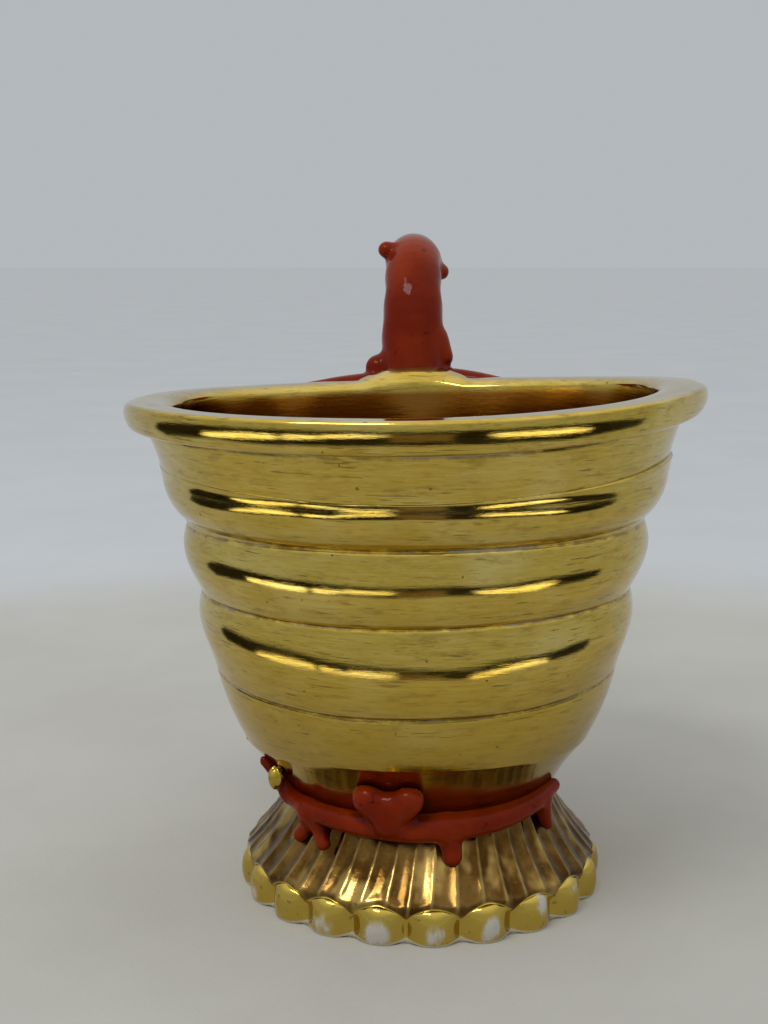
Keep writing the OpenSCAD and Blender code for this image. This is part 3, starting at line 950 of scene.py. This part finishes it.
# Painted highlight on the flute crests
BRONZE_CREST_HIGHLIGHT = (0.46, 0.33, 0.12)
FOOT_GRIME = (0.14, 0.09, 0.04)
PORCELAIN = (0.50, 0.49, 0.46)
CORAL_DEEP = (0.15, 0.010, 0.0003)
CORAL = (0.22, 0.020, 0.0006)
# Glaze pooling, also used as painted shade where other surfaces are near
CORAL_POOL_AND_SHADE = (0.075, 0.003, 0.0004)
CORAL_SPECK = (0.06, 0.003, 0.001)
# A weak reflection keeps the glaze's red deep
CORAL_IOR = 1.19
# Painted shade: the gilding is darker and browner from its waist up to here, in metres
LOW_SHADE_Z = (0.024, 0.056)
# How much of its metal the gilding loses, and how much rougher it gets, where
# it is rubbed through
WORN_METAL, WORN_ROUGH = 0.9, 0.25


def gilding():
    """Burnished gold on porcelain, rubbed to the body along its creases."""
    m = Nodes("gilding")
    # Turned streaks, fine lines, clouds, then a lower wall painted darker and browner as painted
    # shade, and smears
    streaks = m.noise((150, 150, 1700), 6, 0.72)
    fine = m.noise((260, 260, 4200), 4, 0.6, 4.0)
    cloud = m.noise((60, 60, 90), 3, 0.5, 9.0)
    tone = m.mix(m.ramp(streaks, 0.35, 0.7), GOLD_DEEP, GOLD)
    tone = m.mix(m.ramp(cloud, 0.45, 0.75, 0, 0.6), tone, GOLD_PALE)
    split = m.tree.nodes.new("ShaderNodeSeparateXYZ")
    m.tree.links.new(m.coords, split.inputs[0])
    # Painted shade: darker and browner towards the bottom
    tone = m.mix(m.ramp(split.outputs["Z"], *LOW_SHADE_Z, 0.75, 0), tone, GOLD_LOW_SHADE)
    smear = m.noise((170, 170, 620), 6, 0.72, 21.0)
    tone = m.mix(m.ramp(smear, 0.5, 0.7, 0, 0.6), tone, GOLD_SMEARED)
    # The inside is copper, darkened further as painted shade within the bowl
    tone = m.mix(m.ramp(m.attribute("inside"), 0.2, 0.8), tone, COPPER_AND_SHADE)
    # Painted shade beside the creases, broken up by grain
    crease = m.attribute("crease")
    grain = m.noise((420, 420, 900), 3, 0.6, 2.0)
    shade = m.times(m.ramp(crease, 0.2, 0.8), m.ramp(grain, 0.35, 0.6))
    tone = m.mix(m.times(shade, 0.65), tone, CREASE_SHADE)
    # Short dashes, hairlines and specks
    dash = m.ramp(m.noise((150, 150, 2600), 2, 0.5, 12.0), 0.64, 0.71)
    hair = m.ramp(m.noise((300, 300, 6000), 3, 0.6, 44.0), 0.58, 0.7)
    speck = m.ramp(m.noise((700, 700, 700), 1, 0.4, 15.0), 0.78, 0.8)
    marks = m.math("MAXIMUM", m.times(dash, 0.6), m.times(speck, 0.7))
    marks = m.math("MAXIMUM", marks, m.times(hair, 0.4))
    tone = m.mix(marks, tone, SCRATCH)
    # Worn through in stretches along the creases
    broken = m.noise((70, 70, 300), 2, 0.5, 6.0)
    worn = m.times(m.times(m.ramp(crease, 0.6, 0.98), m.ramp(broken, 0.5, 0.62)), 0.8)
    tone = m.mix(worn, tone, BISQUE)
    rough = m.math("ADD", m.ramp(streaks, 0.3, 0.7, 0.06, 0.13), m.times(worn, WORN_ROUGH))
    m.surface(tone, rough, m.math("SUBTRACT", 1.0, m.times(worn, WORN_METAL)))
    m.bump(m.math("ADD", m.times(fine, 0.5), streaks), 0.00002, 0.5)
    return m.material


def foot_gilding():
    """Gold over the foot: dull bronze in the flutes, bright on the hem."""
    m = Nodes("foot_gilding")
    hem, edge, flute = m.attribute("hem"), m.attribute("edge"), m.attribute("flute")
    cloud = m.noise((130, 130, 130), 4, 0.6)
    grain = m.noise((900, 900, 900), 3, 0.6, 3.0)
    warm = m.ramp(m.noise((160, 160, 40), 3, 0.5, 31.0), 0.5, 0.68)
    bronze = m.mix(m.ramp(cloud, 0.35, 0.7), BRONZE_DARK, BRONZE)
    bronze = m.mix(warm, bronze, BRONZE_WARM)
    # Painted highlight: the flute crests lighter than their hollows
    bronze = m.mix(m.ramp(flute, 0.5, 1.0, 0, 0.55), bronze, BRONZE_CREST_HIGHLIGHT)
    tone = m.mix(hem, bronze, GOLD_HEM)
    tone = m.mix(m.times(m.ramp(grain, 0.62, 0.7), 0.6), tone, FOOT_GRIME)
    # Rubbed to the porcelain on the beads and under the standing ring
    patch = m.noise((260, 260, 110), 4, 0.6, 5.0)
    rub = m.times(m.attribute("rub"), m.ramp(patch, 0.3, 0.7, 0.5, 1.4))
    worn = m.times(m.ramp(rub, 0.22, 0.55), 0.9)
    worn = m.math("MAXIMUM", worn, m.ramp(edge, 0.35, 0.9, 0, 0.7))
    tone = m.mix(worn, tone, PORCELAIN)
    dull = m.times(m.ramp(cloud, 0.3, 0.7, 0.12, 0.24), m.math("SUBTRACT", 1.0, hem))
    rough = m.math("ADD", dull, m.times(hem, 0.09))
    m.surface(tone, m.math("ADD", rough, m.times(worn, WORN_ROUGH)),
              m.math("SUBTRACT", 1.0, m.times(worn, WORN_METAL)))
    m.bump(m.math("ADD", cloud, m.times(grain, 0.4)), 0.00012, 0.5)
    return m.material


def coral_glaze():
    """Thick coral-red glaze, darker where it pools, and painted shade where other surfaces are
    near.
    """
    m = Nodes("coral")
    cloud = m.noise((110, 110, 110), 3, 0.55)
    grain = m.noise((600, 600, 600), 2, 0.5, 7.0)
    tone = m.mix(m.ramp(cloud, 0.35, 0.7), CORAL_DEEP, CORAL)
    # Darker where the glaze pools, and painted shade where other surfaces are near
    tone = m.mix(m.ramp(m.attribute("pool_and_shade"), 0.05, 0.6, 0, 0.8), tone, CORAL_POOL_AND_SHADE)
    tone = m.mix(m.ramp(grain, 0.66, 0.74, 0, 0.6), tone, CORAL_SPECK)
    m.surface(tone, m.ramp(cloud, 0.3, 0.7, 0.06, 0.14))
    m.shader.inputs["IOR"].default_value = CORAL_IOR
    m.bump(m.math("ADD", m.times(cloud, 2.0), grain), 0.00012, 0.4)
    return m.material


def matt(name, colour):
    """A dull surface of one colour."""
    m = Nodes(name)
    m.surface(colour, 0.8)
    return m.material


def glow(name, colour, strength):
    """A black surface that gives its own light."""
    m = Nodes(name)
    m.shader.inputs["Base Color"].default_value = (0, 0, 0, 1)
    m.shader.inputs["Emission Color"].default_value = (*colour, 1.0)
    m.shader.inputs["Emission Strength"].default_value = strength
    return m.material


# ---------------------------------------------------------------- stage

SHEET_R = 165.0
FAR_R = 9000
ROOM_R = 620.0
WINDOW_R = ROOM_R - 8
CARD_STEPS = 48
NEAR_TONES = ((0.43, 0.425, 0.395), (0.47, 0.465, 0.435))
FAR_TONES = ((0.505, 0.53, 0.56), (0.53, 0.555, 0.585))
# Where the floor turns from its near tone to its far one, in metres
FAR_FROM, FAR_BY = 0.20, 0.32
SKY_LOW = (0.455, 0.48, 0.505)
SKY_HIGH = (0.95, 0.95, 0.93)
ROOM_TONE = (0.03, 0.022, 0.012)
WINDOW_TONE, WINDOW_POWER = (1.0, 0.97, 0.88), 2.3
PATCH_TONE, PATCH_POWER = (0.30, 0.22, 0.16), 0.6
# The dim room and its lights, as stations of turn, low edge and high edge.
# They stand below the floor's level. Reflections don't see the far floor, so
# what the gold reflects downward, past the near sheet, shows them.
ROOM = [(-118, -110, -80), (-115, -165, -48), (-105, -185, -34), (-85, -215, -34),
        (-62, -310, -42), (-40, -430, -52), (0, -470, -60), (40, -430, -60),
        (68, -300, -60), (85, -220, -60), (98, -150, -75)]
WINDOWS = {
    "left": [(-88, -160, -140), (-84, -180, -125), (-70, -200, -115), (-56, -200, -120),
             (-52, -190, -130)],
    "left_end": [(-49, -195, -125), (-38, -185, -130), (-33, -165, -145)],
    "rim": [(-33, -160, -112), (-14, -150, -110), (-9, -140, -120)],
    "right": [(28, -165, -140), (34, -185, -125), (62, -200, -115), (70, -170, -135)],
}
# A dim brown card that gives its own light, seen only in reflections: a painted brown reflection
PATCH = [(-8, -240, -110), (14, -240, -110)]


def show_to(obj, camera, diffuse, glossy, shadow):
    """Which kinds of rays meet an object."""
    obj.visible_camera = camera
    obj.visible_diffuse = diffuse
    obj.visible_glossy = glossy
    obj.visible_transmission = glossy
    obj.visible_shadow = shadow


def floor_material():
    """A pale sheet, warm near the mug and cooler beyond."""
    m = Nodes("floor")
    cloud = m.noise((14, 14, 14), 4, 0.6)
    near, far = (m.mix(m.ramp(cloud, 0.3, 0.7), *tones) for tones in (NEAR_TONES, FAR_TONES))
    reach = m.tree.nodes.new("ShaderNodeVectorMath")
    reach.operation = "LENGTH"
    m.tree.links.new(m.coords, reach.inputs[0])
    m.surface(m.mix(m.ramp(reach.outputs["Value"], FAR_FROM, FAR_BY), near, far), 0.85)
    m.bump(m.noise((900, 900, 900), 2), 0.0003, 0.25)
    return m.material


def disc(name, inner, outer, columns=96):
    """A flat ring on the floor, facing up."""
    points = [around(360 * j / columns, r, 0.0) for r in (inner, outer) for j in range(columns)]
    return make_object(name, points, [f[::-1] for f in ring_faces(2, columns, False)])


def room_card(name, stations, radius):
    """An upright curved card facing the mug, from its stations."""
    turns, *edges = (np.array(column, float) for column in zip(*stations))
    points = [around(turn, radius, np.interp(turn, turns, edge))
              for turn in np.linspace(turns[0], turns[-1], CARD_STEPS + 1) for edge in edges]
    faces = [[2 * i, 2 * i + 1, 2 * i + 3, 2 * i + 2] for i in range(CARD_STEPS)]
    return make_object(name, points, faces)


def build_stage():
    """A pale sheet with a dim room beyond its edge, seen only as a reflection."""
    pale = floor_material()
    sheet = disc("floor_near", 0.5, SHEET_R)
    far = disc("floor_far", SHEET_R, FAR_R)
    for obj in (sheet, far):
        obj.data.materials.append(pale)
    show_to(far, camera=True, diffuse=True, glossy=False, shadow=True)
    dark = matt("room_dark", ROOM_TONE)
    window = glow("room_window", WINDOW_TONE, WINDOW_POWER)
    brown = glow("room_brown_glow", PATCH_TONE, PATCH_POWER)
    cards = [(room_card("card_front", ROOM, ROOM_R), dark)]
    cards += [(room_card("window_" + side, stations, WINDOW_R), window)
              for side, stations in WINDOWS.items()]
    # The brown card glows as a painted reflection
    cards.append((room_card("room_patch", PATCH, WINDOW_R), brown))
    for obj, material in cards:
        obj.data.materials.append(material)
        show_to(obj, camera=False, diffuse=False, glossy=True, shadow=False)


def build_world():
    """Soft light from all round, brighter overhead."""
    world = bpy.data.worlds.new("studio")
    bpy.context.scene.world = world
    world.use_nodes = True
    tree = world.node_tree
    tree.nodes.clear()
    coords = tree.nodes.new("ShaderNodeTexCoord")
    split = tree.nodes.new("ShaderNodeSeparateXYZ")
    tree.links.new(coords.outputs["Generated"], split.inputs[0])
    level = tree.nodes.new("ShaderNodeMapRange")
    level.interpolation_type = "SMOOTHSTEP"
    level.inputs["From Min"].default_value = 0.15
    level.inputs["From Max"].default_value = 0.9
    tree.links.new(split.outputs["Z"], level.inputs["Value"])
    mix = tree.nodes.new("ShaderNodeMix")
    mix.data_type = "RGBA"
    mix.inputs[MIX_A].default_value = (*SKY_LOW, 1)
    mix.inputs[MIX_B].default_value = (*SKY_HIGH, 1)
    tree.links.new(level.outputs["Result"], mix.inputs[MIX_FACTOR])
    back = tree.nodes.new("ShaderNodeBackground")
    tree.links.new(mix.outputs[MIX_OUT], back.inputs["Color"])
    out = tree.nodes.new("ShaderNodeOutputWorld")
    tree.links.new(back.outputs[0], out.inputs["Surface"])


def add_area(name, place, target, size, power):
    """A rectangular lamp aimed at a point. Places and sizes are in metres."""
    light = bpy.data.lights.new(name, "AREA")
    light.shape = "RECTANGLE"
    light.size, light.size_y = size
    light.energy = power
    obj = bpy.data.objects.new(name, light)
    bpy.context.scene.collection.objects.link(obj)
    obj.location = Vector(place)
    way = Vector(target) - obj.location
    obj.rotation_euler = way.to_track_quat("-Z", "Y").to_euler()


# The camera that was fitted to the photo: place in metres, tilt down and turn
# to the left in degrees, lens and sensor in millimetres
CAMERA_PLACE = (0.0, -0.270, 0.1128)
CAMERA_DOWN, CAMERA_TURN = 9.65, 1.40
LENS, SENSOR = 54.5, 36


def build_camera():
    data = bpy.data.cameras.new("camera")
    data.lens = LENS
    data.sensor_width = SENSOR
    data.clip_start, data.clip_end = 0.01, 50
    cam = bpy.data.objects.new("camera", data)
    bpy.context.scene.collection.objects.link(cam)
    cam.location = CAMERA_PLACE
    cam.rotation_euler = (math.radians(90 - CAMERA_DOWN), 0, math.radians(CAMERA_TURN))
    bpy.context.scene.camera = cam


# ---------------------------------------------------------------- scene

build_camera()
build_world()
build_stage()
add_area("lamp_front", place=(-0.32, -0.42, 0.80), target=(0, 0, 0.05), size=(0.46, 0.18),
         power=2.5)

gilt, foot_gilt, coral = gilding(), foot_gilding(), coral_glaze()
pieces = {"bowl": (build_bowl(), gilt, "gilding"),
          "foot": (build_foot(), foot_gilt, "foot_gilding"),
          "gilt_knot": (build_knot(), gilt, "gilding")}
for node, piece in build_coral().items():
    pieces[node] = (piece, coral, "coral")
for node, (piece, material, slot) in pieces.items():
    piece.data.materials.append(material)
    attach(piece, "root")
    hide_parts(node)

scene = bpy.context.scene
scene.view_settings.view_transform = "Standard"
